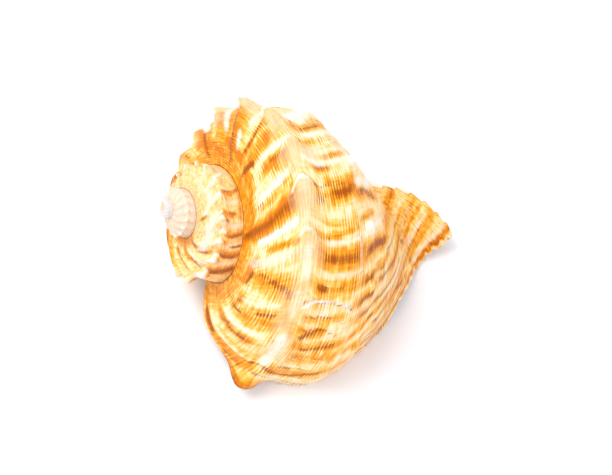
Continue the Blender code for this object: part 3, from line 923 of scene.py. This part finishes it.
for stretch, scale, detail, roughness, distortion in NOISES:
    stretched = add(skin, "Mapping", {}, {"Vector": place_map, "Scale": stretch})
    noise = add(skin, "TexNoise", {"noise_dimensions": "2D"},
                {"Vector": stretched.outputs["Vector"], "Scale": scale, "Detail": detail,
                 "Roughness": roughness, "Distortion": distortion})
    noises.append(noise.outputs["Fac"])
streaks, growth_lines, mottle, cord_places = noises
SOFT_STEP = {"interpolation_type": "SMOOTHSTEP"}
cord_share = add(skin, "MapRange", SOFT_STEP, {"Value": cord_places, "From Min": 0.40,
                                               "From Max": 0.64, "To Min": 0.12}).outputs["Result"]
centred = add(skin, "Math", {"operation": "SUBTRACT"}, {0: cords, 1: 0.5}).outputs[0]
placed = add(skin, "Math", {"operation": "MULTIPLY"}, {0: centred, 1: cord_share}).outputs[0]
cords = add(skin, "Math", {"operation": "MULTIPLY"}, {0: placed, 1: age.outputs["Alpha"]}).outputs[0]
print("cord waves at scale", round(WAVE_TURN / CORD_SPACING, 3))


# %% How the cords cut up the strokes
def sum_of(material, terms, start=0.0):
    """Add up sockets, each times its weight, from a starting value."""
    total = start
    for socket, weight in terms:
        total = add(material, "Math", {"operation": "MULTIPLY_ADD"},
                    {0: socket, 1: weight, 2: total}).outputs[0]
    return total


orange_field = sum_of(skin, ((parts.outputs["Green"], 0.85), (streaks, 0.95), (cords, 0.34),
                             (growth_lines, 0.50), (mottle, 0.65)), -0.85)
brown_field = sum_of(skin, ((parts.outputs["Red"], 1.0), (streaks, 0.55), (cords, 0.50),
                            (growth_lines, 0.25), (mottle, 0.25)), -0.52)
white_field = sum_of(skin, ((parts.outputs["Blue"], 0.95), (streaks, -0.35), (mottle, 0.55),
                            (growth_lines, 0.45)), -0.33)
brown_share = add(skin, "MapRange", SOFT_STEP,
                  {"Value": brown_field, "From Min": 0.28, "From Max": 0.95}).outputs["Result"]
white_share = add(skin, "MapRange", SOFT_STEP,
                  {"Value": white_field, "From Min": 0.22, "From Max": 0.95}).outputs["Result"]

# %% Colours: cream to orange, then brown, pinkish tan, worn white and the grey-white tip; the brown, tan and white also carry painted shade, shadow and highlights
body = add(skin, "ValToRGB", {}, {"Fac": orange_field})
set_stops(body.color_ramp, ((0.0, "#FCEBC8"), (0.25, "#FCDB98"), (0.45, "#FAC056"),
                            (0.65, "#F2A01E"), (0.92, "#DA7802")))
tan_share = sum_of(skin, [(marks.outputs["Alpha"], 0.8)])
spire_share = sum_of(skin, [(ages.outputs["Red"], 0.22)])
tip_share = sum_of(skin, [(ages.outputs["Green"], 0.8)])
layers = (                  # share of each layer over the ones before, and its colour
    (brown_share, "#A65002"), (tan_share, "#F2D2AC"), (white_share, "#FBF4E6"),
    (spire_share, "#F3E4D2"), (tip_share, "#E9EAED"),
)
skin_colour = body.outputs["Color"]
for layer_share, code in layers:
    layer = add(skin, "Mix", {"data_type": "RGBA"},
                {"Factor": layer_share, "A": skin_colour, "B": linear(code)})
    skin_colour = layer.outputs[2]

# %% Relief too fine for the mesh, and the finish
fine_relief = sum_of(skin, ((cords, 0.8), (growth_lines, 1.5), (streaks, 0.5)))
bump = add(skin, "Bump", {}, {"Height": fine_relief, "Strength": 0.55, "Distance": 0.00018})
gloss = add(skin, "MapRange", {}, {"Value": mottle, "To Min": 0.34, "To Max": 0.50})
skin_shader = add(skin, "BsdfPrincipled", {},
                  {"Base Color": skin_colour, "Roughness": gloss.outputs["Result"],
                   "Normal": bump.outputs["Normal"], "IOR": 1.53, "Specular IOR Level": 0.16})
add(skin, "OutputMaterial", {}, {"Surface": skin_shader.outputs["BSDF"]})
print("nodes in the skin:", len(skin.node_tree.nodes))

# %% [markdown]
# ## Shell, inside: a smooth, glazed lining
#
# The lining is the last and densest layer, laid down smooth, like glazed porcelain. It is cream,
# warmed to orange near the lip, with the outside's brown showing as dashes on its very edge.

# %% Glazed lining
lining = blank("glazed_shell_lining")
lining_age = add(lining, "Attribute", {"attribute_name": "age"})
lining_ages = add(lining, "SeparateColor", {}, {"Color": lining_age.outputs["Color"]})
lining_map = add(lining, "UVMap", {"uv_map": MAP_NAME}).outputs["UV"]
depth_in = add(lining, "SeparateXYZ", {}, {"Vector": lining_map})
from_lip = add(lining, "MapRange", {},
               {"Value": depth_in.outputs["X"], "From Min": -60.0, "From Max": 0.0})
lining_body = add(lining, "ValToRGB", {}, {"Fac": from_lip.outputs["Result"]})
set_stops(lining_body.color_ramp, ((0.0, "#E9A66B"), (0.55, "#F4C590"), (0.85, "#FBE6CC"),
                                   (1.0, "#F6CE96")))
dashes = add(lining, "TexWave", {"wave_type": "BANDS", "bands_direction": "Y"},
             {"Vector": lining_map, "Scale": WAVE_TURN / RIDGE_SPACING, "Distortion": 1.2, "Detail": 1.0})
dash_share = add(lining, "MapRange", SOFT_STEP,
                 {"Value": dashes.outputs["Fac"], "From Min": 0.55, "From Max": 0.8})
edge_share = add(lining, "Math", {"operation": "MULTIPLY"},
                 {0: dash_share.outputs["Result"], 1: lining_ages.outputs["Blue"]})
lining_colour = add(lining, "Mix", {"data_type": "RGBA"},
                    {"Factor": edge_share.outputs[0], "A": lining_body.outputs["Color"],
                     "B": linear("#B4671C")})
glaze_shader = add(lining, "BsdfPrincipled", {},
                   {"Base Color": lining_colour.outputs[2], "Roughness": 0.16, "IOR": 1.53,
                    "Coat Weight": 0.3, "Coat Roughness": 0.08})
add(lining, "OutputMaterial", {}, {"Surface": glaze_shader.outputs["BSDF"]})
mesh.materials.append(skin)
mesh.materials.append(lining)
print("finishes on the shell:", [material.name for material in mesh.materials])

# %% [markdown]
# ## Studio and camera
#
# The picture was taken from high above, in soft light on white. A white floor under a white sky
# gives that, with one large soft light from the picture's upper left for the shapes.

# %% Floor and sky
ground = bmesh.new()
bmesh.ops.create_grid(ground, x_segments=1, y_segments=1, size=3.0)
floor_mesh = bpy.data.meshes.new("studio_floor")
ground.to_mesh(floor_mesh)
ground.free()
floor = in_scene("studio_floor", floor_mesh)
floor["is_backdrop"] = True
paper = blank("white_paper")
paper_shader = add(paper, "BsdfPrincipled", {},
                   {"Base Color": linear("#FDFDFF"), "Roughness": 0.9, "Specular IOR Level": 0.1})
add(paper, "OutputMaterial", {}, {"Surface": paper_shader.outputs["BSDF"]})
floor_mesh.materials.append(paper)
SKY_STRENGTH = 0.84
sky = bpy.data.worlds.new("white_studio")
bpy.context.scene.world = sky
sky.use_nodes = True
sky.node_tree.nodes["Background"].inputs["Color"].default_value = linear("#FBFAFF")
sky.node_tree.nodes["Background"].inputs["Strength"].default_value = SKY_STRENGTH

# %% Camera: its place and its three directions, from the shell's own outline in the picture
LENS = 140.22               # mm, on a sensor 36 mm wide
CAMERA_AT = (-0.081674, -0.177346, 0.552885)
RIGHT = Vector((0.98864, -0.0970, 0.1148))
UP = Vector((0.05513, 0.94464, 0.32343))
BACK = Vector((-0.13982, -0.31343, 0.93926))
camera_data = bpy.data.cameras.new("camera")
camera_data.lens = LENS
camera_data.sensor_width = 36.0
camera = in_scene("camera", camera_data)
camera.matrix_world = Matrix.Translation(CAMERA_AT) @ Matrix((RIGHT, UP, BACK)).transposed().to_4x4()
bpy.context.scene.camera = camera

# %% Lights: one large soft key from the upper left of the picture, and a weak fill
def soft_light(name, toward, distance, size, power):
    """A square soft light in a direction from the shell, facing it."""
    data = bpy.data.lights.new(name, "AREA")
    data.energy = power
    data.size = size
    light = in_scene(name, data)
    light.location = distance * toward.normalized()
    light.rotation_euler = toward.to_track_quat("Z", "Y").to_euler()


soft_light("key", BACK + 0.60 * UP - 0.45 * RIGHT, distance=0.9, size=0.50, power=4.9)
soft_light("fill", BACK - 0.7 * UP + 0.8 * RIGHT, distance=1.1, size=0.9, power=2.2)
bpy.context.scene.view_settings.view_transform = "Standard"
print("lights:", len(bpy.data.lights), "; camera looks down at",
      round(math.degrees(math.asin(BACK.z))), "degrees")

# %% Measure the dressed box
visual_low, visual_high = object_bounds()
({"cad": [list(cad_low), list(cad_high)],
           "visual": [list(visual_low), list(visual_high)]})
print("dressed box in mm:", [round(1000 * (b - a), 1) for a, b in zip(visual_low, visual_high)])
